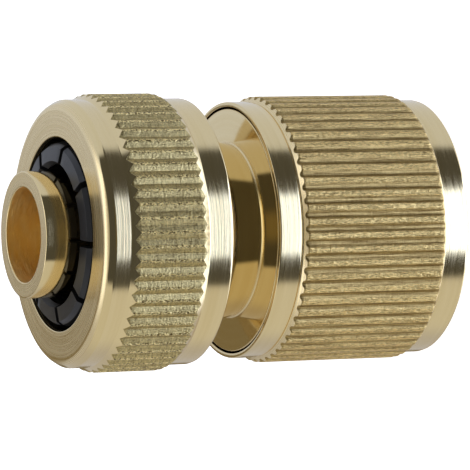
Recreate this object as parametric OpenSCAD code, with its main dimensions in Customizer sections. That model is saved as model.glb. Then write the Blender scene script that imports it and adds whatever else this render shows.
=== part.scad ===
// Quick connector for a half-inch garden hose, turned from brass.
// It stands on the end of its socket, with the hose tail up. Millimetres, +Z along the axis,
// and the origin is the centre of the socket end.

/* [Hose tail] */
// How far the tip of the tail stands out of the clamp nut
tail_out = 4.05; // [3.4:0.05:6]
// Outside diameter of the lip at the tip of the tail
tail_lip_d = 14.5; // [13.8:0.1:15]
// Length of the lip
tail_lip_len = 3; // [2.4:0.1:3.4]
// Outside diameter of the tail behind the lip
tail_neck_d = 13.7; // [12.6:0.1:13.8]
// Diameter of the water way through the tail
tail_bore_d = 10.9; // [8:0.1:11]
// Number of saw-tooth barbs behind the lip
tail_barbs = 2; // [1:1:3]
// Distance from one barb to the next
barb_pitch = 2.6; // [2.2:0.1:3]
// How far a barb stands out of the tail
barb_h = 0.3; // [0.2:0.05:0.5]

/* [Clamp thread] */
// Outside diameter of the thread that the clamp nut runs on
thread_d = 25; // [24.4:0.1:26]
// Distance that the nut moves in one turn
thread_pitch = 1.25; // [1:0.05:1.5]
// Number of turns on the threaded collar
thread_turns = 4; // [3.5:0.25:4.25]
// Radial depth of the thread
thread_depth = 0.77; // [0.5:0.01:0.8]

/* [Clamp nut] */
// Length of the clamp nut
nut_len = 15.5; // [15:0.1:18]
// Wall from the thread to the plain bands
nut_wall = 2.85; // [2.4:0.05:4]
// Radius by which the front face is smaller than the plain bands
nut_face_step = 0.9; // [0.6:0.05:1.2]
// Length of the plain band at the front
nut_front_band = 3; // [2.4:0.1:3.6]
// Length of the plain band at the rear
nut_rear_band = 3; // [2.4:0.1:3.6]
// How far the knurl stands above the plain bands
nut_knurl_rise = 0.6; // [0.45:0.05:1]
// Depth of the grooves in the knurl
nut_knurl_depth = 0.36; // [0.2:0.02:0.44]
// Number of teeth round the nut
nut_teeth = 62; // [48:1:80]
// Width of the flat on top of a tooth of the nut
nut_tooth_flat = 0.14; // [0.1:0.02:0.6]
// Gap between the mouth of the nut and the tips of the fingers
nut_mouth_gap = 0.75; // [0.5:0.05:1]

/* [Collet] */
// Number of gripping fingers
fingers = 9; // [6:1:12]
// Thickness of a finger at its tip
finger_t = 2.4; // [1.8:0.1:2.6]
// Gap between the lip of the tail and the fingers
hose_gap = 0.75; // [0.5:0.05:1]
// Width of the slot between two fingers
finger_slot = 0.8; // [0.4:0.05:1.2]
// Bevel of the corners at the tip of a finger
finger_bevel = 0.5; // [0.2:0.05:0.8]
// Height of the closed ring that carries the fingers
collet_ring_h = 2; // [1.6:0.1:2.6]
// How far the tips of the fingers stand proud of the nut
finger_proud = 0.45; // [0:0.05:0.6]

/* [Neck and flange] */
// Outside diameter of the neck where it meets the flange
neck_d = 20; // [19:0.2:21]
// Radius by which the neck widens towards the nut
neck_flare = 1; // [0:0.1:1.2]
// Length of neck that shows between nut and sleeve
neck_gap = 5.9; // [5:0.1:8]
// Thickness of the flange
flange_t = 2.5; // [1.8:0.1:3.5]

/* [Socket] */
// Diameter of the bore that the plug's seal runs in
seal_d = 16; // [14:0.1:18]
// Radius by which the mouth is wider than the seal bore
mouth_step = 0.9; // [0.7:0.05:1]
// Depth of the mouth, from the nose to the step
mouth_len = 11.3; // [10.6:0.1:12]
// Wall of the barrel round the mouth
barrel_wall = 1.6; // [1.4:0.05:2]
// How far the nose lies inside the end of the sleeve
nose_recess = 0.7; // [0.4:0.1:1.5]
// Length of the nose that stops the sleeve
nose_len = 5.4; // [4:0.1:7]
// Wall of the barrel inside the skirt
joint_wall = 1.25; // [1.1:0.05:1.4]
// Length of the skirt that the socket is screwed into
skirt_len = 5.9; // [5:0.1:6.4]
// Thickness of the cord of the joint seal
seal_cord = 1.2; // [1:0.1:1.2]

/* [Claws] */
// Number of locking claws
claws = 4; // [2:1:4]
// Width of a claw where it passes through its window
claw_w = 6.6; // [4:0.1:7]
// Height of the window in the barrel
window_h = 3.8; // [3:0.1:4]
// How far the back of a claw laps over the edge of its window
claw_lap = 0.7; // [0.5:0.05:0.9]
// How far a tooth reaches into the mouth
tooth_h = 0.8; // [0.5:0.05:0.9]
// Thickness of a claw's back at its thin end
claw_back_t = 0.7; // [0.5:0.05:0.9]
// How far a claw moves outwards
claw_travel = 1.1; // [0.9:0.05:1.2]

/* [Sleeve] */
// How far the sleeve slides back to let go of the plug
sleeve_travel = 4; // [3.5:0.1:4.2]
// Wall of the sleeve round the claws
sleeve_wall = 1.14; // [1:0.01:1.6]
// Wall of the sleeve at its rear rim
rim_wall = 0.55; // [0.5:0.05:0.8]
// How far the knurl stands above the plain bands
sleeve_knurl_rise = 0.6; // [0.45:0.05:1]
// Depth of the grooves in the knurl
sleeve_knurl_depth = 0.34; // [0.2:0.02:0.44]
// Number of teeth round the sleeve
sleeve_teeth = 60; // [48:1:80]
// Width of the flat on top of a tooth of the sleeve
sleeve_tooth_flat = 0.5; // [0.1:0.05:0.7]
// Length of the plain band at the socket end
sleeve_front_band = 3.1; // [2:0.1:4]
// Length of the plain band at the rear
sleeve_rear_band = 2.85; // [2:0.05:4]
// Thickness of the rib between the claws and the spring
rib_t = 1.4; // [1:0.1:2]

/* [Spring] */
// Thickness of the spring wire
spring_wire = 1.2; // [0.8:0.1:1.3]
// Length of the spring in its place
spring_len = 9.4; // [9.4:0.1:12]
// Number of turns of the spring
spring_turns = 4; // [3:0.5:4]
// Part of a turn that lies flat at each end of the spring
spring_flat = 0.5; // [0.25:0.05:0.5]

/* [Clearances] */
// Gap between pieces that slide in each other
slide_gap = 0.25; // [0.15:0.01:0.3]
// Gap between pieces that bear on each other
bear_gap = 0.05; // [0.03:0.01:0.08]

/* [Hidden] */
$fn = 120;
brass = "#b59a5c";
brass_bright = "#c8ac62";
acetal = "#23252b";
nitrile = "#161616";
spring_steel = "#b9bcc0";

// Overshoot of a cut beyond the face that it starts from
cut = 1;
// Small edges
edge_fine = 0.15;
edge = 0.4;
edge_bold = 0.7;
// Lengths of the sloping ends of the two knurls
nut_knurl_slope = 0.9;
sleeve_knurl_slope = 0.25;

// Levels along the axis, from the socket end up
nose_z = nose_recess;
nose_top = nose_z + nose_len;
claw_z0 = nose_top + 2 * bear_gap;
window_top = nose_top + window_h;
claw_back_top = window_top + claw_lap;
rib_top = claw_back_top + rib_t;
flange_z0 = rib_top + spring_len;
flange_z1 = flange_z0 + flange_t;
nut_z0 = flange_z1 + neck_gap;
nut_z1 = nut_z0 + nut_len;
tail_z1 = nut_z1 + tail_out;
mouth_z1 = nose_z + mouth_len;
skirt_z0 = flange_z0 - skirt_len;
joint_seat_z = flange_z0 + flange_t / 3;
socket_z1 = joint_seat_z - seal_cord;

// Radii of the socket end
seal_r = seal_d / 2;
mouth_r = seal_r + mouth_step;
socket_r = mouth_r + barrel_wall;
joint_r = seal_r + joint_wall;
claw_slope = claw_travel / sleeve_travel;
claw_back_r = socket_r + claw_back_t;
claw_foot_r = claw_back_r + (claw_back_top - claw_z0) * claw_slope;
recess_r = claw_foot_r + claw_travel + slide_gap;
nose_r = recess_r - slide_gap;
sleeve_band_r = recess_r + sleeve_wall;
sleeve_bore_r = sleeve_band_r - rim_wall;
flange_r = sleeve_bore_r - slide_gap;
sleeve_crest_r = sleeve_band_r + sleeve_knurl_rise;
spring_r = (socket_r + sleeve_bore_r) / 2;

// Radii of the hose end
neck_r = neck_d / 2;
thread_r = thread_d / 2;
thread_root_r = thread_r - thread_depth;
nut_bore_r = thread_r + bear_gap;
nut_band_r = nut_bore_r + nut_wall;
nut_crest_r = nut_band_r + nut_knurl_rise;
nut_face_r = nut_band_r - nut_face_step;
tail_lip_r = tail_lip_d / 2;
tail_neck_r = tail_neck_d / 2;
tail_bore_r = tail_bore_d / 2;
finger_in_r = tail_lip_r + hose_gap;
finger_out_r = finger_in_r + finger_t;
nut_mouth_r = finger_out_r + nut_mouth_gap;
collar_z0 = nut_z0 + edge_bold;
collar_z1 = collar_z0 + thread_turns * thread_pitch;
collet_z0 = collar_z1 + bear_gap;
collet_ring_z1 = collet_z0 + collet_ring_h;
collet_ring_r = nut_bore_r - slide_gap;
collet_z1 = nut_z1 + finger_proud;
nut_seat_z = collet_ring_z1 + bear_gap;

// A solid of revolution about the axis, from an outline of radius and height
module turned(outline) {
    rotate_extrude() polygon(outline);
}

// The outline of a straight knurl: a flat on each tooth and a sharp groove between two
function knurl_outline(teeth, flat_w, crest_r, groove_r) =
    let (step = 360 / teeth, flat = flat_w / crest_r * 90 / PI)
    [for (i = [0:teeth - 1]) each [
        [crest_r * cos(i * step - flat), crest_r * sin(i * step - flat)],
        [crest_r * cos(i * step + flat), crest_r * sin(i * step + flat)],
        [groove_r * cos((i + 0.5) * step), groove_r * sin((i + 0.5) * step)]
    ]];

// A knurled belt from z0 to z1 that slopes down to the plain radius at both ends
module knurled_belt(teeth, flat_w, crest_r, depth, plain_r, z0, z1, slope) {
    intersection() {
        translate([0, 0, z0]) linear_extrude(z1 - z0)
            polygon(knurl_outline(teeth, flat_w, crest_r, crest_r - depth));
        turned([
            [0, z0], [plain_r, z0], [crest_r, z0 + slope],
            [crest_r, z1 - slope], [plain_r, z1], [0, z1]
        ]);
    }
}

// The hose tail, with its barbs, the threaded collar, the neck, the flange and the skirt
module hose_tail() {
    barb_z = collar_z1 + 1.5 * barb_pitch;
    lip_z = tail_z1 - tail_lip_len;
    barbs = [for (i = [0:tail_barbs - 1], part = [0:2])
        part == 0 ? [tail_neck_r, barb_z + i * barb_pitch]
        : part == 1 ? [tail_neck_r + barb_h, barb_z + i * barb_pitch]
        : [tail_neck_r, min(lip_z, barb_z + (i + 0.8) * barb_pitch)]];
    color(brass_bright) {
        turned(concat(
            [
                [joint_r, skirt_z0], [socket_r, skirt_z0], [socket_r, flange_z0],
                [flange_r, flange_z0], [flange_r, flange_z1 - edge_fine],
                [flange_r - edge_fine, flange_z1], [neck_r, flange_z1],
                [neck_r + neck_flare, collar_z0], [thread_root_r, collar_z0 + edge],
                [thread_root_r, collar_z1 - edge], [thread_root_r - edge, collar_z1],
                [tail_neck_r, collar_z1]
            ],
            barbs,
            [
                [tail_neck_r, lip_z], [tail_lip_r, lip_z],
                [tail_lip_r, tail_z1 - edge_fine], [tail_lip_r - edge_fine, tail_z1],
                [tail_bore_r + edge_fine, tail_z1], [tail_bore_r, tail_z1 - edge_fine],
                [tail_bore_r, joint_seat_z + seal_r - tail_bore_r],
                [seal_r, joint_seat_z], [joint_r, joint_seat_z]
            ]
        ));
        // Fillet between neck and flange
        rotate_extrude() translate([neck_r, flange_z1]) difference() {
            translate([-edge, 0]) square([2 * edge, edge]);
            translate([edge, edge]) circle(edge);
        }
    }
}

// A window in the barrel for one claw, at angle zero
module claw_window() {
    translate([0, -claw_w / 2 - 2 * bear_gap, nose_top])
        cube([socket_r + cut, claw_w + 4 * bear_gap, window_h]);
}

// The barrel that takes the plug, with the nose that stops the sleeve
module socket_barrel() {
    entry = edge_bold + edge;
    color(brass) difference() {
        turned([
            [mouth_r + entry, nose_z], [nose_r - edge, nose_z], [nose_r, nose_z + edge],
            [nose_r, nose_top], [socket_r, nose_top], [socket_r, skirt_z0],
            [joint_r - bear_gap, skirt_z0], [joint_r - bear_gap, socket_z1],
            [seal_r, socket_z1], [seal_r, mouth_z1 + mouth_r - seal_r],
            [mouth_r, mouth_z1], [mouth_r, nose_z + entry]
        ]);
        for (i = [0:claws - 1]) rotate(i * 360 / claws) claw_window();
    }
}

// The ring that seals the screwed joint between the barrel and the tail
module joint_seal() {
    color(nitrile) rotate_extrude()
        translate([joint_r - seal_cord / 2 - bear_gap, socket_z1 + seal_cord / 2])
            circle(seal_cord / 2, $fn = 32);
}

// The nut that squeezes the collet on the hose
module clamp_nut() {
    color(brass) difference() {
        union() {
            turned([
                [0, nut_z0], [nut_band_r - edge, nut_z0], [nut_band_r, nut_z0 + edge],
                [nut_band_r, nut_z1 - edge - edge_bold],
                [(nut_band_r + nut_face_r) / 2, nut_z1 - edge],
                [nut_face_r, nut_z1], [0, nut_z1]
            ]);
            knurled_belt(nut_teeth, nut_tooth_flat, nut_crest_r, nut_knurl_depth, nut_band_r,
                nut_z0 + nut_rear_band, nut_z1 - nut_front_band, nut_knurl_slope);
        }
        turned([
            [0, nut_z0 - cut], [nut_bore_r + edge + cut, nut_z0 - cut],
            [nut_bore_r, nut_z0 + edge], [nut_bore_r, nut_seat_z],
            [nut_mouth_r, nut_z1 - edge_bold], [nut_mouth_r, nut_z1 + cut], [0, nut_z1 + cut]
        ]);
    }
}

// A slot between two fingers, at angle zero, with bevelled corners at the tips of the fingers
module finger_slot_cut() {
    half = finger_slot / 2;
    flare = half + finger_bevel + cut;
    rotate([90, 0, 90]) linear_extrude(collet_ring_r + cut) polygon([
        [-half, collet_ring_z1], [half, collet_ring_z1], [half, collet_z1 - finger_bevel],
        [flare, collet_z1 + cut], [-flare, collet_z1 + cut], [-half, collet_z1 - finger_bevel]
    ]);
}

// The collet: a closed ring with gripping fingers that lean in to the tail
module clamp_collet() {
    grip_z = collet_ring_z1 + 1;
    grip_step = (nut_z1 - 1 - grip_z) / 4;
    grips = [for (i = [3:-1:0], part = [0:1])
        [part == 0 ? finger_in_r : finger_in_r + edge, grip_z + (i + 0.5 * (1 - part)) * grip_step]];
    color(acetal) difference() {
        turned(concat(
            [
                [finger_in_r + edge_bold, collet_z0], [collet_ring_r - edge, collet_z0],
                [collet_ring_r, collet_z0 + edge], [collet_ring_r, collet_ring_z1],
                [finger_out_r, collet_z1 - edge_bold], [finger_out_r - edge, collet_z1 - edge / 2],
                [finger_in_r + edge, collet_z1], [finger_in_r, collet_z1 - edge_bold]
            ],
            grips
        ));
        for (i = [0:fingers - 1]) rotate((i + 0.5) * 360 / fingers) finger_slot_cut();
    }
}

// The sleeve that is pulled back to let go of the plug
module release_sleeve() {
    cone_z0 = nose_top + bear_gap;
    cone_foot_r = claw_foot_r + bear_gap + (claw_z0 - cone_z0) * claw_slope;
    rib_r = socket_r + slide_gap;
    color(brass) difference() {
        union() {
            turned([
                [0, 0], [sleeve_band_r - edge, 0], [sleeve_band_r, edge],
                [sleeve_band_r, flange_z1 - edge_fine],
                [sleeve_band_r - edge_fine, flange_z1], [0, flange_z1]
            ]);
            knurled_belt(sleeve_teeth, sleeve_tooth_flat, sleeve_crest_r, sleeve_knurl_depth,
                sleeve_band_r, sleeve_front_band, flange_z1 - sleeve_rear_band,
                sleeve_knurl_slope);
        }
        turned([
            [0, -cut], [recess_r + edge_fine + cut, -cut], [recess_r, edge_fine],
            [recess_r, cone_z0], [cone_foot_r, cone_z0],
            [claw_back_r + bear_gap, claw_back_top], [rib_r, claw_back_top + edge],
            [rib_r, rib_top], [sleeve_bore_r, rib_top],
            [sleeve_bore_r, flange_z1 + cut], [0, flange_z1 + cut]
        ]);
    }
}

// The spring, wound round the barrel between the rib of the sleeve and the flange.
// Its first and last turns lie flat, and the turns between them take up the length.
module release_spring() {
    steps = 20;
    sides = 8;
    rings = ceil(spring_turns * steps);
    low = rib_top + bear_gap + spring_wire / 2;
    high = flange_z0 - bear_gap - spring_wire / 2;
    function level(turn) =
        let (rising = (turn - spring_flat) / (spring_turns - 2 * spring_flat))
        low + (high - low) * min(1, max(0, rising));
    function ring_point(i, j) =
        let (
            turn = i / rings * spring_turns, round = 360 * turn, tube = 360 * j / sides,
            r = spring_r + spring_wire / 2 * cos(tube)
        )
        [r * cos(round), r * sin(round), level(turn) + spring_wire / 2 * sin(tube)];
    color(spring_steel) polyhedron(
        points = [for (i = [0:rings], j = [0:sides - 1]) ring_point(i, j)],
        faces = concat(
            [[for (j = [0:sides - 1]) j]],
            [for (i = [0:rings - 1], j = [0:sides - 1])
                let (k = (j + 1) % sides, a = i * sides, b = a + sides)
                [a + j, b + j, b + k, a + k]],
            [[for (j = [sides - 1:-1:0]) rings * sides + j]]
        )
    );
}

// One claw: a toothed stem that passes through its window, and a wider back with a sloping face
module locking_claw(number) {
    tooth_r = mouth_r - tooth_h;
    stem_top = window_top - 2 * bear_gap;
    ramp = (stem_top - claw_z0) * 0.45;
    back_w = claw_w + 2 * claw_lap;
    if (number <= claws) color(acetal) rotate((number - 1) * 360 / claws) {
        intersection() {
            turned([
                [mouth_r + bear_gap, claw_z0], [claw_back_r, claw_z0], [claw_back_r, stem_top],
                [tooth_r, stem_top], [tooth_r, claw_z0 + ramp]
            ]);
            translate([0, -claw_w / 2, claw_z0]) cube([claw_foot_r, claw_w, window_h]);
        }
        intersection() {
            turned([
                [socket_r + bear_gap, claw_z0], [claw_foot_r, claw_z0],
                [claw_back_r, claw_back_top], [socket_r + bear_gap, claw_back_top]
            ]);
            translate([0, -back_w / 2, claw_z0])
                cube([claw_foot_r, back_w, claw_back_top - claw_z0]);
        }
    }
}

hose_tail();
socket_barrel();
joint_seal();
clamp_nut();
clamp_collet();
release_sleeve();
release_spring();
locking_claw(1);  // locking_claw_1
locking_claw(2);  // locking_claw_2
locking_claw(3);  // locking_claw_3
locking_claw(4);  // locking_claw_4
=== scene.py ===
import bpy
import bmesh
import math
from mathutils import Matrix, Vector


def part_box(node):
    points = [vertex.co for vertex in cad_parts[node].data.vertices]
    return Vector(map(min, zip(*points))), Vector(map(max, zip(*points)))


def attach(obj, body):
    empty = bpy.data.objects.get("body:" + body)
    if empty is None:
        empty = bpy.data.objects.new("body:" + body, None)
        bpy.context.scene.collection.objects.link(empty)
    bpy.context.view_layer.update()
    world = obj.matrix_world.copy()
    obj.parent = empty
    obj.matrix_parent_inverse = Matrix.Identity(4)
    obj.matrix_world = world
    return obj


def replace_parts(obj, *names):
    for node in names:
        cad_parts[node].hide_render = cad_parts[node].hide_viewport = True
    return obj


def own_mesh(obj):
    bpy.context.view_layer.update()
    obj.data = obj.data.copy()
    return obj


# Quick connector for a garden hose: looks for the turned brass pieces, the collet, the spring and
# the claws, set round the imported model. Lengths in the dictionaries are millimetres, angles degrees.

mm = 0.001
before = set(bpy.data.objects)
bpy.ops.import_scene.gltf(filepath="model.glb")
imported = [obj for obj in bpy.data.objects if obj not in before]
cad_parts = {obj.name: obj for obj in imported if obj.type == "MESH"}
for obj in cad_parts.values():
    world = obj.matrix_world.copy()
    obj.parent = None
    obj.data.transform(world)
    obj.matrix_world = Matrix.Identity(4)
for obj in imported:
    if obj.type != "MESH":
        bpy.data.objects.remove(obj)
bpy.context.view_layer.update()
print("frame loaded:", len(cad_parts), "nodes")


def nodeSpan(node):
    # lowest level, highest level and outer radius of a node, in mm
    low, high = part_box(node)
    return low.z / mm, high.z / mm, high.x / mm


nutZ0, nutZ1, nutCrest = nodeSpan("clamp_nut")
sleeveZ0, sleeveZ1, sleeveCrest = nodeSpan("release_sleeve")
tailZ0, tailZ1, flangeR = nodeSpan("hose_tail")
colletZ0, colletZ1, colletR = nodeSpan("clamp_collet")
springZ0, springZ1, springR = nodeSpan("release_spring")


# Materials

bandRadius = 15.0  # the lengths of turned lines are true at this distance from the axis


def toLinear(hexColor):
    channels = [int(hexColor[i:i + 2], 16) / 255 for i in (1, 3, 5)]
    return [c / 12.92 if c <= 0.04045 else ((c + 0.055) / 1.055) ** 2.4 for c in channels] + [1.0]


def connect(tree, node, links):
    # a link is an input and what goes there: a plain value, an output, or a node for its first output
    for target, source in links:
        if isinstance(source, bpy.types.Node):
            source = source.outputs[0]
        if isinstance(source, bpy.types.NodeSocket):
            tree.links.new(source, node.inputs[target])
        else:
            node.inputs[target].default_value = source


def addNode(tree, kind, links=(), **settings):
    node = tree.nodes.new(kind)
    for key, value in settings.items():
        setattr(node, key, value)
    connect(tree, node, links)
    return node


def newMaterial(name, values=()):
    material = bpy.data.materials.new(name)
    material.use_nodes = True
    tree = material.node_tree
    shader = tree.nodes["Principled BSDF"]
    connect(tree, shader, values)
    return material, tree, shader


def aroundAxis(tree):
    # distance from the axis, height, and the direction away from the axis, in metres
    place = addNode(tree, "ShaderNodeTexCoord").outputs["Object"]
    flat = addNode(tree, "ShaderNodeVectorMath", [(0, place), (1, (1, 1, 0))], operation="MULTIPLY")
    radius = addNode(tree, "ShaderNodeVectorMath", [(0, flat)], operation="LENGTH").outputs["Value"]
    away = addNode(tree, "ShaderNodeVectorMath", [(0, flat)], operation="NORMALIZE")
    height = addNode(tree, "ShaderNodeSeparateXYZ", [(0, place)]).outputs["Z"]
    return radius, height, away


def turningNoise(tree, lineWidth, lineLength, detail=2.0, seed=0.0):
    # noise drawn out round the axis, as a lathe tool leaves it: rings on faces, hoops on barrels
    radius, height, away = aroundAxis(tree)
    sides = addNode(tree, "ShaderNodeSeparateXYZ", [(0, away)])
    lines = 1 / (lineWidth * mm)
    rings = addNode(tree, "ShaderNodeMath", [(0, radius), (1, lines), (2, seed)], operation="MULTIPLY_ADD")
    hoops = addNode(tree, "ShaderNodeMath", [(0, height), (1, lines)], operation="MULTIPLY")
    across, along = [addNode(tree, "ShaderNodeMath", [
        (0, sides.outputs[axis]), (1, bandRadius / lineLength)], operation="MULTIPLY") for axis in "XY"]
    place = addNode(tree, "ShaderNodeCombineXYZ", [(0, rings), (1, hoops), (2, across)])
    return addNode(tree, "ShaderNodeTexNoise", [
        ("Vector", place), ("W", along), ("Scale", 1.0), ("Detail", detail), ("Roughness", 0.6)],
        noise_dimensions="4D")


def dragNoise(tree, width, length):
    # noise drawn out along the axis, as a knurling wheel or a broach leaves it
    place = addNode(tree, "ShaderNodeTexCoord").outputs["Object"]
    across, along = 1 / (width * mm), 1 / (length * mm)
    drawn = addNode(tree, "ShaderNodeVectorMath", [(0, place), (1, (across, across, along))],
                    operation="MULTIPLY")
    return addNode(tree, "ShaderNodeTexNoise", [
        ("Vector", drawn), ("Scale", 1.0), ("Detail", 2.0), ("Roughness", 0.6)])


def grain(tree, size, detail):
    # noise of one size in all directions, as a mould leaves it
    place = addNode(tree, "ShaderNodeTexCoord").outputs["Object"]
    return addNode(tree, "ShaderNodeTexNoise", [
        ("Vector", place), ("Scale", 1 / (size * mm)), ("Detail", detail)])


def setSurface(tree, shader, tones, roughness, relief):
    # tones: a noise with its dark and light colour; roughness: a noise with its low and high value;
    # relief: noises with their depths in mm, each laid over the one before it
    tone, dark, light = tones
    color = addNode(tree, "ShaderNodeMix", [(0, tone), (6, toLinear(dark)), (7, toLinear(light))],
                    data_type="RGBA").outputs[2]
    wear, low, high = roughness
    satin = addNode(tree, "ShaderNodeMapRange", [("Value", wear), ("To Min", low), ("To Max", high)])
    below = []
    for height, depth in relief:
        raised = addNode(tree, "ShaderNodeBump", [
            ("Height", height), ("Strength", 1.0), ("Distance", depth * mm), *below])
        below = [("Normal", raised)]
    connect(tree, shader, [("Base Color", color), ("Roughness", satin), *below])


def turnedBrass(name, light, dark, roughness, lineWidth, lineLength, lineDepth, stretch):
    # free-cutting brass off the lathe, then brushed while it turned: lines run round the axis and
    # draw the highlights out across them. Real lines are finer: these are as wide as the render shows.
    material, tree, shader = newMaterial(name, [("Metallic", 1.0), ("Anisotropic", stretch)])
    fine = turningNoise(tree, lineWidth, lineLength)
    broad = turningNoise(tree, lineWidth * 4, lineLength * 3, detail=1.0, seed=7.3)
    setSurface(tree, shader, (broad, dark, light), (fine, roughness * 0.3, roughness * 1.7),
               [(broad, lineDepth), (fine, lineDepth)])
    away = aroundAxis(tree)[2]
    hoop = addNode(tree, "ShaderNodeVectorMath", [(0, away), (1, (0, 0, -1))], operation="CROSS_PRODUCT")
    lineWay = addNode(tree, "ShaderNodeVectorTransform", [(0, hoop)], vector_type="VECTOR",
                      convert_from="OBJECT", convert_to="WORLD")
    connect(tree, shader, [("Tangent", lineWay), ("Anisotropic Rotation", 0.25)])  # blurs across the lines
    return material


def knurledBrass(name, light, dark, roughness, knurl):
    # teeth cut into the brass and never brushed: chatter marks across them, drag lines along them, pitted
    # flanks, and specks torn by the tool. Painted highlight: the crests are coloured lighter than flanks and
    # grooves, partly real polish from handling; the specks are painted as bright glints, and the light colour
    # is the glints' colour
    material, tree, shader = newMaterial(name, [("Metallic", 1.0)])
    radius = aroundAxis(tree)[0]
    crest = addNode(tree, "ShaderNodeMapRange", [
        ("Value", radius), ("From Min", (knurl["crestR"] - knurl["crestDepth"]) * mm),
        ("From Max", knurl["crestR"] * mm)])
    chatter = turningNoise(tree, knurl["chatter"], lineLength=2.0, seed=3.1)
    drag = dragNoise(tree, width=0.1, length=4.0)
    specks = dragNoise(tree, *knurl["speck"])
    chatterMark, dragMark, speckMark = [addNode(tree, "ShaderNodeMapRange", [
        ("Value", noise), ("From Min", 0.36), ("From Max", 0.64), ("To Min", -0.5), ("To Max", 0.5)])
        for noise in (chatter, drag, specks)]  # the middle of each noise, spread to -0.5 to 0.5
    exposed = addNode(tree, "ShaderNodeMath", [(0, crest), (1, knurl["flankGrain"])], operation="ADD")
    # the specks, thickest on the crests, are painted bright as glints as well as raised in the relief
    tornGlints = addNode(tree, "ShaderNodeMath", [(0, speckMark), (1, exposed)], operation="MULTIPLY")
    # painted highlight: the band at the top of each crest is coloured lighter
    shine = addNode(tree, "ShaderNodeMath", [(0, crest), (1, knurl["crestHighlight"]), (2, knurl["tone"])],
                    operation="MULTIPLY_ADD")
    for mark, share in ((chatterMark, "chatterTone"), (dragMark, "dragTone"), (tornGlints, "speckGlintTone")):
        shine = addNode(tree, "ShaderNodeMath", [(0, mark), (1, knurl[share]), (2, shine)],
                        operation="MULTIPLY_ADD")
    setSurface(tree, shader, (shine, dark, light), (chatter, roughness * 0.6, roughness * 1.4), [
        (chatter, knurl["chatterDepth"]), (drag, knurl["dragDepth"]), (tornGlints, knurl["grainDepth"])])
    return material


def mouldedAcetal():
    # black acetal with a satin spark-eroded mould finish, slightly blue: its pits blur the highlights.
    # Real pits are finer: these are as wide as the render shows.
    material, tree, shader = newMaterial("acetalBlack")
    pits = grain(tree, size=0.12, detail=2.0)
    clouds = grain(tree, size=2.5, detail=1.0)
    setSurface(tree, shader, (clouds, "#18181A", "#25262A"), (pits, 0.28, 0.46), [(pits, 0.006)])
    return material


def nitrileRubber():
    # cord of an O-ring, matt with a faint bloom
    material, tree, shader = newMaterial("nitrileBlack")
    bloom = grain(tree, size=0.4, detail=3.0)
    setSurface(tree, shader, (bloom, "#0E0E0F", "#1D1D1E"), (bloom, 0.55, 0.8), [(bloom, 0.008)])
    return material


def drawnSteel():
    # stainless spring wire: die lines run along it, so they are drawn out round the axis
    material, tree, shader = newMaterial("springSteel", [("Metallic", 1.0)])
    lines = turningNoise(tree, lineWidth=0.06, lineLength=12.0, seed=1.7)
    setSurface(tree, shader, (lines, "#8F9296", "#D3D5D8"), (lines, 0.2, 0.36), [(lines, 0.004)])
    return material


brassBand = turnedBrass("brassBrushed", light="#F0DDB0", dark="#E2CB95", roughness=0.17,
                        lineWidth=0.2, lineLength=7.0, lineDepth=0.0055, stretch=0.5)
brassTurned = turnedBrass("brassTurned", light="#EEDBAC", dark="#E2CB95", roughness=0.085,
                          lineWidth=0.15, lineLength=14.0, lineDepth=0.0003, stretch=0.5)
# painted light: the bore's brass is coloured lighter and deeper gold than the outer brass, standing in for
# the light that bounces about in the bore
brassBoredLightened = turnedBrass("brassBoredLightened", light="#FFE8A4", dark="#FACF76", roughness=0.45,
                         lineWidth=0.2, lineLength=3.0, lineDepth=0.05, stretch=0.5)
brassFaced = turnedBrass("brassFaced", light="#F0DDB0", dark="#E2CB95", roughness=0.27,
                         lineWidth=0.2, lineLength=14.0, lineDepth=0.006, stretch=0.2)
# on both knurls the light colour is that of the painted crest highlights and painted glints
brassNutKnurl = knurledBrass("brassNutKnurl", light="#FFE8A2", dark="#5E4A26", roughness=0.42, knurl={
    "crestR": nutCrest, "crestDepth": 0.08, "tone": 0.47, "crestHighlight": 0.22,
    "speck": (0.15, 0.26), "speckGlintTone": 1.5, "flankGrain": 0.16, "grainDepth": 0.16,
    "chatter": 0.22, "chatterDepth": 0.05, "chatterTone": 0.3, "dragDepth": 0.012, "dragTone": 0.2})
brassSleeveKnurl = knurledBrass("brassSleeveKnurl", light="#FADA90", dark="#654A20", roughness=0.42, knurl={
    "crestR": sleeveCrest, "crestDepth": 0.25, "tone": 0.36, "crestHighlight": 0.34,
    "speck": (0.12, 0.5), "speckGlintTone": 0.5, "flankGrain": 0.2, "grainDepth": 0.04,
    "chatter": 0.2, "chatterDepth": 0.03, "chatterTone": 0.1, "dragDepth": 0.035, "dragTone": 0.4})
acetal = mouldedAcetal()
rubber = nitrileRubber()
wireSteel = drawnSteel()
print("materials made")


# Meshing

holding = 0.04  # distance of the holding points from the rounded corners
longEdge = 8 * holding  # edges longer than this get them


def outlineMesh(points, rounding=0.12, arcSteps=3):
    # a closed outline of (radius, height) or (radius, height, own rounding) points, corners rounded
    bm = bmesh.new()
    corners = []
    groups = {}
    for r, z, *own in points:
        corner = bm.verts.new((r * mm, 0, z * mm))
        corners.append(corner)
        groups.setdefault(own[0] if own else rounding, []).append(corner)
    for a, b in zip(corners, corners[1:] + corners[:1]):
        bm.edges.new((a, b))
    for radius, verts in groups.items():
        if radius:
            bmesh.ops.bevel(bm, geom=verts, offset=radius * mm, offset_type="OFFSET", affect="VERTICES",
                            segments=arcSteps, profile=0.5, material=-1, clamp_overlap=True)
    for edge in [e for e in bm.edges if e.calc_length() > longEdge * mm]:
        for end in list(edge.verts):
            bmesh.utils.edge_split(edge, end, holding * mm / edge.calc_length())  # keeps long faces flat
    return bm


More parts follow.
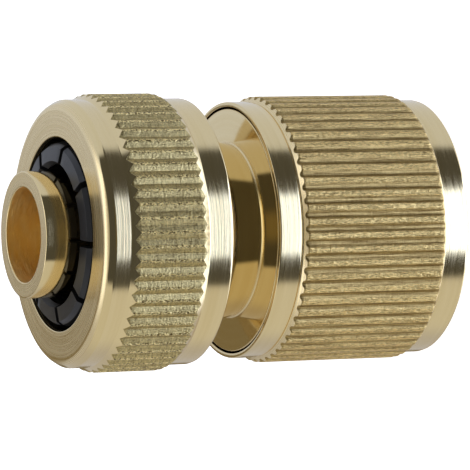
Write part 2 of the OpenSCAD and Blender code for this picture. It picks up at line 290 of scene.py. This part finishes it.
def spinAround(bm, steps):
    # full turn about the axis; the start is merged with the end
    bmesh.ops.spin(bm, geom=bm.verts[:] + bm.edges[:], cent=(0, 0, 0), axis=(0, 0, 1),
                   angle=math.tau, steps=steps, use_merge=True, use_duplicate=False)
    bmesh.ops.remove_doubles(bm, verts=bm.verts[:], dist=0.0005 * mm)
    bmesh.ops.recalc_face_normals(bm, faces=bm.faces[:])


def facePlace(face):
    # radius and height of the middle of a face, in mm
    middle = face.calc_center_median() / mm
    return math.hypot(middle.x, middle.y), middle.z


def meshObject(name, bm, materials):
    mesh = bpy.data.meshes.new(name)
    bm.to_mesh(mesh)
    bm.free()
    for material in materials:
        mesh.materials.append(material)
    made = bpy.data.objects.new(name, mesh)
    bpy.context.scene.collection.objects.link(made)
    return made


def addPiece(name, bm, body, materials, sharpDeg=32):
    for edge in bm.edges:
        edge.smooth = edge.calc_face_angle(math.pi) < math.radians(sharpDeg)
    for face in bm.faces:
        face.smooth = True
    piece = meshObject(name, bm, materials)
    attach(piece, body)
    print("piece:", name, len(piece.data.polygons), "faces")
    return piece


# Knurls

brushed, knurled, bright, faced = range(4)  # places of the finishes on the nut and on the sleeve
footRounding = 0.04  # where the ends of a belt meet the band
bandSkin = 0.002  # what stands less proud of the band than this belongs to it
chamferTilt = (0.12, 0.7)  # least and greatest slope of what counts as a chamfer, as a normal's height


def beltOutline(turned):
    # the outer side of a knurled belt, from its lower end to its upper end
    low, high, slope = turned["beltLow"], turned["beltHigh"], turned["beltSlope"]
    band, crest, rounding = turned["bandR"], turned["crestR"], turned["crestRounding"]
    return [(band, low, footRounding), (crest, low + slope, rounding),
            (crest, high - slope, rounding), (band, high, footRounding)]


def edgeGroove(turned):
    # the fine groove that the tool leaves above a belt
    band, slope, rounding = turned["bandR"], turned["grooveSlope"], turned["grooveRounding"]
    foot = band - turned["grooveDepth"]
    low = turned["beltHigh"] + turned["grooveGap"]
    high = low + turned["grooveWidth"]
    return [(band, low, rounding), (foot, low + slope, rounding),
            (foot, high - slope, rounding), (band, high, rounding)]


def cutTeeth(bm, turned):
    # moves the crest of a spun belt down into the grooves; the sloping ends run out at each tooth
    low, high, slope = turned["beltLow"], turned["beltHigh"], turned["beltSlope"]
    band, crest, teeth = turned["bandR"], turned["crestR"], turned["teeth"]
    for vert in bm.verts:
        r, z, angle = math.hypot(vert.co.x, vert.co.y) / mm, vert.co.z / mm, math.atan2(vert.co.y, vert.co.x)
        place = (angle * teeth / math.tau + 0.5) % 1 - 0.5  # -0.5 and 0.5 in the grooves
        share = math.copysign(turned["spread"](abs(2 * place)), place)
        angle += (share / 2 - place) * math.tau / teeth
        if low < z < high and r > band + bandSkin:
            rise = min(1, (z - low) / slope, (high - z) / slope)
            drop = band + rise * (crest - band) - r  # what the rounding took off
            tooth = crest - turned["toothDepth"] * turned["toothShape"](abs(share))
            r = band + rise * (tooth - band) - drop
            run = slope * (tooth - band) / (crest - band)
            z = low + rise * run if z < low + slope else z
            z = high - rise * run if z > high - slope else z
        vert.co = (r * math.cos(angle) * mm, r * math.sin(angle) * mm, z * mm)
    bm.normal_update()


def markBelt(bm, turned, ends):
    # the teeth are knurled; the ends of the belt, where steeper than the limit, take another finish
    for face in bm.faces:
        r, z = facePlace(face)
        if turned["beltLow"] < z < turned["beltHigh"] and r > turned["bandR"]:
            face.material_index = knurled if abs(face.normal.z) < turned["steepest"] else ends


def markSlopes(bm, innerR):
    # chamfers and rounded edges, which the brush misses and which stay brighter
    least, greatest = chamferTilt
    for face in bm.faces:
        sloping = least < abs(face.normal.z) < greatest
        if sloping and face.material_index == brushed and facePlace(face)[0] > innerR:
            face.material_index = bright


# Clamp nut: coarse knurl with sharp crests, thread and clamping cone inside. In the rows of a tooth,
# 0 is the middle of its crest and 1 the bottom of the groove.

nut = {
    "crestR": nutCrest,
    "bandR": nutCrest - 0.6,
    "boreR": nutCrest - 3.45,
    "mouthR": nutCrest - 4.85,
    "mouthDepth": 0.7,
    "seat": nutZ1 - 7.7,
    "chamfer": 0.4,
    "rimDrop": 1.1,  # the rim leans in from here to the face, in two slopes
    "faceDrop": 0.4,
    "faceStep": 0.9,
    "crown": 0.05,
    "edgeRounding": 0.3,
    "cornerRounding": 0.1,
    "mouthRounding": 0.08,
    "beltLow": nutZ0 + 3.0,
    "beltHigh": nutZ1 - 3.0,
    "beltSlope": 0.9,
    "crestRounding": 0.08,
    "steepest": 0.25,
    "teeth": 62,
    "toothDepth": 0.36,
    "stepsPerTooth": 8,
    "spread": lambda u: u ** 1.8,  # where the steps fall: closer together at the crest
    "toothShape": lambda u: max(0, (u - 0.08) / 0.92),  # how deep: straight flanks
}


def makeNut():
    band, bore, mouth, chamfer = nut["bandR"], nut["boreR"], nut["mouthR"], nut["chamfer"]
    corner, rounding, rim = nut["cornerRounding"], nut["edgeRounding"], nutZ1 - nut["faceDrop"]
    bm = outlineMesh([
        (bore + chamfer, nutZ0), (band, nutZ0, rounding), *beltOutline(nut),
        (band, nutZ1 - nut["rimDrop"], corner), (band - nut["faceStep"] / 2, rim, corner),
        (band - nut["faceStep"], nutZ1 - nut["crown"], rounding), (mouth, nutZ1, nut["mouthRounding"]),
        (mouth, nutZ1 - nut["mouthDepth"], corner), (bore, nut["seat"], corner),
        (bore, nutZ0 + chamfer, corner),
    ])
    spinAround(bm, nut["teeth"] * nut["stepsPerTooth"])
    cutTeeth(bm, nut)
    markBelt(bm, nut, brushed)
    markSlopes(bm, bore)
    for face in bm.faces:
        if facePlace(face)[1] > rim:
            face.material_index = faced
    finishes = [brassBand, brassNutKnurl, brassTurned, brassFaced]
    return addPiece("nutTurned", bm, "nut", finishes)


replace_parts(makeNut(), "clamp_nut")

# Release sleeve: finer knurl with rounded ridges; cone for the claws and rib for the spring inside

sleeve = {
    "crestR": sleeveCrest,
    "bandR": sleeveCrest - 0.6,
    "recessR": sleeveCrest - 1.74,
    "rearR": sleeveCrest - 1.15,
    "coneLowR": 12.47,
    "coneHighR": 11.25,
    "coneLow": 6.15,
    "ribR": 10.75,
    "ribLow": 10.6,
    "ribHigh": 12.0,
    "ribChamfer": 0.4,
    "mouthChamfer": 0.15,
    "edgeRounding": 0.3,
    "topRounding": 0.15,
    "rearRounding": 0.1,
    "shoulderRounding": 0.2,
    "grooveGap": 0.1,
    "grooveDepth": 0.14,
    "grooveSlope": 0.04,
    "grooveWidth": 0.18,
    "grooveRounding": 0.02,
    "beltLow": sleeveZ0 + 3.0,
    "beltHigh": sleeveZ1 - 2.9,
    "beltSlope": 0.45,
    "crestRounding": 0.14,
    "steepest": 0.6,
    "teeth": 60,
    "toothDepth": 0.34,
    "stepsPerTooth": 12,
    "spread": lambda u: u,
    "toothShape": lambda u: 0.25 * u * u + 0.75 * min(1, max(0, (u - 0.4) / 0.3)),  # rounded ridges
}


def makeSleeve():
    band, rib, rear, recess = sleeve["bandR"], sleeve["ribR"], sleeve["rearR"], sleeve["recessR"]
    chamfer = sleeve["mouthChamfer"]
    bm = outlineMesh([
        (recess + chamfer, sleeveZ0), (band, sleeveZ0, sleeve["edgeRounding"]), *beltOutline(sleeve),
        *edgeGroove(sleeve), (band, sleeveZ1, sleeve["topRounding"]),
        (rear, sleeveZ1, sleeve["rearRounding"]),
        (rear, sleeve["ribHigh"], sleeve["shoulderRounding"]), (rib, sleeve["ribHigh"]),
        (rib, sleeve["ribLow"] + sleeve["ribChamfer"]), (sleeve["coneHighR"], sleeve["ribLow"]),
        (sleeve["coneLowR"], sleeve["coneLow"]), (recess, sleeve["coneLow"]), (recess, sleeveZ0 + chamfer),
    ])
    spinAround(bm, sleeve["teeth"] * sleeve["stepsPerTooth"])
    cutTeeth(bm, sleeve)
    markBelt(bm, sleeve, faced)
    markSlopes(bm, recess)
    finishes = [brassBand, brassSleeveKnurl, brassTurned, brassFaced]
    return addPiece("sleeveTurned", bm, "sleeve", finishes)


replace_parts(makeSleeve(), "release_sleeve")

# Hose tail: lip, barbs, threaded collar, neck, flange and skirt

tail = {
    "lipR": 7.25,
    "lipLength": 3.0,
    "lipRounding": 0.12,
    "lipFootRounding": 0.15,
    "neckR": 6.85,
    "neckRounding": 0.2,
    "boreR": 5.45,
    "barbs": 2,
    "barbStart": 1.5,  # pitches from the collar to the first barb
    "barbPitch": 2.6,
    "barbRise": 0.3,
    "barbFall": 0.8,  # share of the pitch that a barb slopes down over
    "barbRoundings": (0.03, 0.05, 0.1),
    "collarLow": nutZ0 + 0.7,
    "collarHigh": nutZ0 + 5.7,
    "chamfer": 0.4,
    "threadRootR": 11.73,
    "threadCrestR": 12.5,
    "shankR": 10.0,
    "shankTopR": 11.35,
    "fillet": 0.4,
    "flangeLow": sleeveZ1 - 2.5,
    "flangeHigh": sleeveZ1,
    "flangeRounding": 0.14,
    "crown": 0.07,
    "skirtR": 10.5,
    "skirtInnerR": 9.25,
    "chamberR": 8.0,
    "seat": sleeveZ1 - 1.67,
    "seatRounding": 0.05,
    "cornerRounding": 0.1,
    "boreSkin": 0.02,  # how near the middle of a face is to the bore, to be bored
    "endSkin": 0.01,  # and to the end of the lip, to be faced
    "filletTilt": (0.05, 0.98),  # least and greatest height of a normal on the neck's fillet
    "steps": 256,
}


def makeTail():
    neck, root, shank, seat = tail["neckR"], tail["threadRootR"], tail["shankR"], tail["seat"]
    low, high, bore, chamber = tail["collarLow"], tail["collarHigh"], tail["boreR"], tail["chamberR"]
    skirt, chamfer, corner = tail["skirtInnerR"], tail["chamfer"], tail["cornerRounding"]
    flangeLow, flangeHigh, lipLow = tail["flangeLow"], tail["flangeHigh"], tailZ1 - tail["lipLength"]
    footArc, crestArc, slopeArc = tail["barbRoundings"]
    barbs = []
    for i in range(tail["barbs"]):
        foot = high + (i + tail["barbStart"]) * tail["barbPitch"]
        barbs += [(neck, foot, footArc), (neck + tail["barbRise"], foot, crestArc),
                  (neck, foot + tail["barbFall"] * tail["barbPitch"], slopeArc)]
    bm = outlineMesh([
        (skirt, tailZ0), (tail["skirtR"], tailZ0), (tail["skirtR"], flangeLow, corner),
        (flangeR, flangeLow), (flangeR, flangeHigh - tail["crown"], tail["flangeRounding"]),
        (shank, flangeHigh, tail["fillet"]), (tail["shankTopR"], low, corner), (root, low + chamfer, corner),
        (root, high - chamfer, corner), (root - chamfer, high, corner), (neck, high, tail["neckRounding"]),
        *barbs, (neck, lipLow, tail["lipFootRounding"]), (tail["lipR"], lipLow),
        (tail["lipR"], tailZ1, tail["lipRounding"]), (bore, tailZ1, tail["lipRounding"]),
        (bore, seat + chamber - bore), (chamber, seat, tail["seatRounding"]),
        (skirt, seat, tail["seatRounding"]),
    ])
    spinAround(bm, tail["steps"])
    finishes = [brassTurned, brassBoredLightened, brassFaced]
    bored, toolMarked = 1, 2
    least, greatest = tail["filletTilt"]
    for face in bm.faces:
        r, z = facePlace(face)
        if r < bore + tail["boreSkin"]:
            face.material_index = bored
        elif z > tailZ1 - tail["endSkin"]:
            face.material_index = toolMarked
        elif abs(z - flangeHigh) < tail["fillet"] and least < abs(face.normal.z) < greatest:
            face.material_index = toolMarked  # the fillet at the foot of the neck
    return addPiece("tailTurned", bm, "body", finishes)


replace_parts(makeTail(), "hose_tail")

# Threads: one right-hand ridge each, run out on the chamfers

thread = {
    "pitch": 1.25,
    "crestWidth": 0.16,
    "rootWidth": 0.98,
    "sunk": 0.1,  # how deep the ridge stands in the wall
    "endSunk": 0.08,  # and how deep its ends run out
    "clearance": 0.1,
    "nutPhase": 0.62,  # share of a turn that keeps the two ridges apart
    "stepsPerTurn": 96,
}


def makeThread(name, body, rootR, crestR, low, high, phase):
    # a trapezium is drawn along the helix, then its ends are trimmed by 45 degree chamfers
    steps = thread["stepsPerTurn"]
    turns = (high - low) / thread["pitch"]
    outward = 1 if crestR > rootR else -1  # the ridge in the nut points to the axis
    foot, footWidth, crestWidth = rootR - thread["sunk"] * outward, thread["rootWidth"], thread["crestWidth"]
    bm = bmesh.new()
    corners = [(foot, -0.5 * footWidth), (crestR, -0.5 * crestWidth),
               (crestR, 0.5 * crestWidth), (foot, 0.5 * footWidth)]
    verts = [bm.verts.new((r * mm, 0, (low + z) * mm)) for r, z in corners]
    bm.faces.new(verts)
    bmesh.ops.rotate(bm, verts=verts, cent=(0, 0, 0), matrix=Matrix.Rotation(phase * math.tau, 3, "Z"))
    bmesh.ops.spin(bm, geom=bm.edges[:] + bm.verts[:], cent=(0, 0, 0), axis=(0, 0, 1), angle=turns * math.tau,
                   steps=round(turns * steps), dvec=(0, 0, thread["pitch"] / steps * mm))
    for vert in bm.verts:
        r, z = math.hypot(vert.co.x, vert.co.y) / mm, vert.co.z / mm
        room = min(z - low, high - z) - thread["sunk"]  # height of the ridge that the chamfers leave
        height = max(-thread["endSunk"], min((r - rootR) * outward, room))
        scale = (rootR + height * outward) / r
        vert.co.x *= scale
        vert.co.y *= scale
    bmesh.ops.recalc_face_normals(bm, faces=bm.faces[:])
    return addPiece(name, bm, body, [brassTurned])


makeThread("collarThread", "body", tail["threadRootR"], tail["threadCrestR"],
           tail["collarLow"] + tail["chamfer"], tail["collarHigh"] - tail["chamfer"], 0.0)
makeThread("nutThread", "nut", nut["boreR"], tail["threadRootR"] + thread["clearance"],
           nutZ0 + nut["chamfer"], nut["seat"], thread["nutPhase"])

# Collet: closed ring with nine fingers, each moulded with round corners. Inside, out of sight, a finger
# tapers from its tip to the ring, where the solid one keeps its thickness and has rows of grips.

collet = {
    "fingers": 9,
    "slot": 0.8,
    "innerR": 8.0,
    "outerR": 10.4,
    "tipDrop": 0.7,
    "tipBevel": 0.4,
    "backDrop": 0.2,
    "footInset": 0.05,
    "footSunk": 0.2,
    "sideRounding": 0.3,
    "roundedDeg": 25,  # edges sharper than this are rounded,
    "roundedAbove": 0.1,  # where they stand higher over the ring than this
    "spunShare": 0.9,  # a finger is spun over this share of its place, then fitted between the slots
    "ringHigh": colletZ0 + 2.0,
    "ringStep": 0.4,
    "ringChamfer": 0.4,
    "ringRounding": 0.06,
    "ringSteps": 180,
    "fingerSteps": 6,
}


def makeRing():
    bore, high, chamfer = collet["innerR"] + collet["ringStep"], collet["ringHigh"], collet["ringChamfer"]
    ring = outlineMesh([
        (bore, colletZ0), (colletR - chamfer, colletZ0), (colletR, colletZ0 + chamfer), (colletR, high),
        (bore, high)], collet["ringRounding"], arcSteps=2)
    spinAround(ring, collet["ringSteps"])
    return ring


def makeFinger():
    inner, outer, bevel, high = collet["innerR"], collet["outerR"], collet["tipBevel"], collet["ringHigh"]
    finger = outlineMesh([
        (colletR - collet["footInset"], high - collet["footSunk"]), (outer, colletZ1 - collet["tipDrop"]),
        (outer - bevel, colletZ1 - collet["backDrop"]), (inner + bevel, colletZ1),
        (inner, colletZ1 - collet["tipDrop"])], 0)
    share = math.tau / collet["fingers"]
    angle = collet["spunShare"] * share
    start = Matrix.Rotation(-angle / 2, 3, "Z")
    bmesh.ops.rotate(finger, verts=finger.verts[:], cent=(0, 0, 0), matrix=start)
    bmesh.ops.spin(finger, geom=finger.verts[:] + finger.edges[:], cent=(0, 0, 0), axis=(0, 0, 1),
                   angle=angle, steps=collet["fingerSteps"])
    for vert in finger.verts:
        # the sides of a finger are parallel to the slot, not radial
        r = math.hypot(vert.co.x, vert.co.y)
        room = share / 2 - math.asin(collet["slot"] / 2 * mm / r)
        turn = math.atan2(vert.co.y, vert.co.x) / (angle / 2) * room
        vert.co.x, vert.co.y = r * math.cos(turn), r * math.sin(turn)
    bmesh.ops.holes_fill(finger, edges=finger.edges[:], sides=0)
    bmesh.ops.recalc_face_normals(finger, faces=finger.faces[:])
    sharp = [e for e in finger.edges if e.calc_face_angle(0) > math.radians(collet["roundedDeg"])
             and max(v.co.z for v in e.verts) > (high + collet["roundedAbove"]) * mm]
    bmesh.ops.bevel(finger, geom=sharp, offset=collet["sideRounding"] * mm, offset_type="OFFSET",
                    affect="EDGES", segments=3, profile=0.5, material=-1, clamp_overlap=True)
    return finger


def makeCollet():
    ring = makeRing()
    for i in range(collet["fingers"]):
        finger = makeFinger()
        turn = Matrix.Rotation(i * math.tau / collet["fingers"], 3, "Z")
        bmesh.ops.rotate(finger, verts=finger.verts[:], cent=(0, 0, 0), matrix=turn)
        part = bpy.data.meshes.new("finger")
        finger.to_mesh(part)
        finger.free()
        ring.from_mesh(part)
    return addPiece("colletMoulded", ring, "collet", [acetal], sharpDeg=40)


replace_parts(makeCollet(), "clamp_collet")

# Spring: round wire, with half a turn lying flat at each end

spring = {
    "wire": 1.2,
    "wireSides": 14,
    "flatTurns": 0.5,
    "risingTurns": 3.0,
    "stepsPerTurn": 48,
    "travel": 4.0,
}


def makeSpring():
    wire, flat, length = spring["wire"], spring["flatTurns"], springZ1 - springZ0
    start = Matrix.Translation(((springR - wire / 2) * mm, 0, (springZ0 + wire / 2) * mm))
    bm = bmesh.new()
    bmesh.ops.create_circle(bm, segments=spring["wireSides"], radius=wire / 2 * mm, cap_ends=True,
                            matrix=start @ Matrix.Rotation(math.pi / 2, 4, "X"))
    last = bm.verts[:] + bm.edges[:]
    for turns, climb in ((flat, 0), (spring["risingTurns"], length - wire), (flat, 0)):
        count = round(turns * spring["stepsPerTurn"])
        out = bmesh.ops.spin(bm, geom=last, cent=(0, 0, 0), axis=(0, 0, 1), angle=turns * math.tau,
                             steps=count, dvec=(0, 0, climb / count * mm))
        last = [e for e in out["geom_last"] if not isinstance(e, bmesh.types.BMFace)]
    bmesh.ops.holes_fill(bm, edges=bm.edges[:], sides=0)
    bmesh.ops.recalc_face_normals(bm, faces=bm.faces[:])
    piece = addPiece("springWound", bm, "body", [wireSteel], sharpDeg=50)
    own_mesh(piece)
    return piece


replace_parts(makeSpring(), "release_spring")

# CAD nodes that stay take the same materials

nodeMaterials = {"socket_barrel": brassTurned, "joint_seal": rubber}
for nodeName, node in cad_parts.items():
    if nodeName in nodeMaterials or nodeName.startswith("locking_claw"):
        material = nodeMaterials.get(nodeName, acetal)
        if not node.data.materials:
            node.data.materials.append(material)
        for i in range(len(node.data.materials)):
            node.data.materials[i] = material
print("CAD nodes dressed")

# Camera

cameraSetup = {
    "lens": 338.4,  # long lens: the tail end is hardly larger than the socket end
    "sensor": 36.0,
    "distance": 514.2,
    "elevation": 23.8,
    "orbit": -2.5,  # brings the teeth and the fingers where the photo has them
    "roll": -91.4,
    "target": (-0.59, 0.0, 22.98),
}


def makeCamera():
    data = bpy.data.cameras.new("camera")
    data.lens = cameraSetup["lens"]
    data.sensor_width = cameraSetup["sensor"]
    data.clip_start, data.clip_end = 0.01, 10.0
    camera = bpy.data.objects.new("camera", data)
    bpy.context.scene.collection.objects.link(camera)
    bpy.context.scene.camera = camera
    orbit = Matrix.Rotation(math.radians(cameraSetup["orbit"]), 4, "Z")
    tilt = math.radians(cameraSetup["elevation"])
    back = orbit @ Vector((0, -math.cos(tilt), math.sin(tilt)))
    target = orbit @ (Vector(cameraSetup["target"]) * mm)
    turn = (-back).to_track_quat("-Z", "Y").to_matrix().to_4x4()
    roll = Matrix.Rotation(math.radians(cameraSetup["roll"]), 4, "Z")
    camera.matrix_world = Matrix.Translation(target + back * cameraSetup["distance"] * mm) @ turn @ roll
    print("camera placed")


# Floor and light

studio = {
    "floorSize": 1600,
    "floorColor": (0.9, 0.9, 0.9, 1),
    "floorRoughness": 0.9,
    "floorGlow": 0.78,
    "roomLight": (0.66, 0.66, 0.65, 1),
    "flareLevel": -24,  # where a flared card has its own width
}

# Cards round the object, each laid over those before it. Azimuth 0 is the camera's side, and every card
# has its middle, half its size and the softness of its edge in degrees. Flare widens it downwards.
cards = {
    "upper wall": {
        "azimuth": 125, "half": 60, "level": 0, "halfLevel": 62, "soft": 12, "light": (0.66, 0.70, 0.80)},
    "lower wall": {
        "azimuth": -140, "half": 26, "level": 0, "halfLevel": 62, "soft": 30, "light": (0.52, 0.52, 0.56)},
    "lower corner": {
        "azimuth": -176, "half": 16, "level": 0, "halfLevel": 62, "soft": 6, "light": (0.21, 0.17, 0.095)},
    "dark room behind the camera": {
        "azimuth": 13, "half": 62, "level": -9, "halfLevel": 61, "soft": 8, "light": (0.08, 0.08, 0.075)},
    "far wall behind the camera": {
        "azimuth": 3, "half": 17, "level": 6, "halfLevel": 9, "soft": 22, "light": (0.22, 0.19, 0.11)},
    "softbox below the lens": {
        "azimuth": 3.5, "half": 25, "level": -54, "halfLevel": 30, "soft": 7, "softLevel": 1.6, "flare": 1.0,
        "light": (2.6, 3.05, 4.3)},
    "bright table": {
        "azimuth": 0, "half": 200, "level": -90, "halfLevel": 30, "soft": 14, "light": (1.8, 2.0, 2.6)},
    "overhead softbox": {
        "azimuth": 0, "half": 200, "level": 90, "halfLevel": 32, "soft": 16, "light": (1.7, 1.75, 1.95)},
    "ceiling above the lens": {
        "azimuth": 0, "half": 70, "level": 70, "halfLevel": 18, "soft": 10, "light": (0.5, 0.48, 0.45)},
}


def makeFloor():
    bm = bmesh.new()
    bmesh.ops.create_grid(bm, x_segments=1, y_segments=1, size=studio["floorSize"] / 2 * mm)
    material = newMaterial("paleFloor", [
        ("Base Color", studio["floorColor"]), ("Roughness", studio["floorRoughness"]),
        ("Emission Color", (1, 1, 1, 1)), ("Emission Strength", studio["floorGlow"])])[0]
    floor = meshObject("floor", bm, [material])
    floor.visible_glossy = False  # the brass shows the cards round it instead
    print("floor made")


def cardWindow(tree, card, turn, level):
    # 1 inside the card and 0 outside it, with soft edges
    flare = card.get("flare", 0)
    half = addNode(tree, "ShaderNodeMath", [
        (0, level), (1, -flare), (2, card["half"] + flare * studio["flareLevel"])], operation="MULTIPLY_ADD")
    softLevel = card.get("softLevel", card["soft"])
    inside = 1.0
    for angle, middle, reach, soft in ((turn, card["azimuth"], half, card["soft"]),
                                       (level, card["level"], card["halfLevel"], softLevel)):
        offset = addNode(tree, "ShaderNodeMath", [(0, angle), (1, middle)], operation="SUBTRACT")
        offset = addNode(tree, "ShaderNodeMath", [(0, offset)], operation="ABSOLUTE")
        beyond = addNode(tree, "ShaderNodeMath", [(0, offset), (1, reach)], operation="SUBTRACT")
        edge = addNode(tree, "ShaderNodeMapRange", [
            ("Value", beyond), ("From Min", -soft / 2), ("From Max", soft / 2), ("To Min", 1.0),
            ("To Max", 0.0)], interpolation_type="SMOOTHSTEP")
        inside = addNode(tree, "ShaderNodeMath", [(0, edge), (1, inside)], operation="MULTIPLY")
    return inside


def makeWorld():
    world = bpy.data.worlds.new("studio")
    world.use_nodes = True
    tree = world.node_tree
    sky = addNode(tree, "ShaderNodeTexCoord").outputs["Generated"]
    turned = addNode(tree, "ShaderNodeVectorRotate", [
        ("Vector", sky), ("Angle", math.radians(-cameraSetup["orbit"]))], rotation_type="Z_AXIS")
    parts = addNode(tree, "ShaderNodeSeparateXYZ", [(0, turned)])
    front = addNode(tree, "ShaderNodeMath", [(0, parts.outputs["Y"]), (1, -1.0)], operation="MULTIPLY")
    around = addNode(tree, "ShaderNodeMath", [(0, parts.outputs["X"]), (1, front)], operation="ARCTAN2")
    upwards = addNode(tree, "ShaderNodeMath", [(0, parts.outputs["Z"])], operation="ARCSINE")
    turn, level = [addNode(tree, "ShaderNodeMath", [(0, angle), (1, 180 / math.pi)], operation="MULTIPLY")
                   for angle in (around, upwards)]
    light = studio["roomLight"]
    for card in cards.values():
        light = addNode(tree, "ShaderNodeMix", [
            (0, cardWindow(tree, card, turn, level)), (6, light), (7, (*card["light"], 1))],
            data_type="RGBA").outputs[2]
    connect(tree, tree.nodes["Background"], [("Color", light)])
    bpy.context.scene.world = world
    print("world made")


makeFloor()
makeWorld()
makeCamera()
bpy.context.scene.view_settings.view_transform = "Standard"
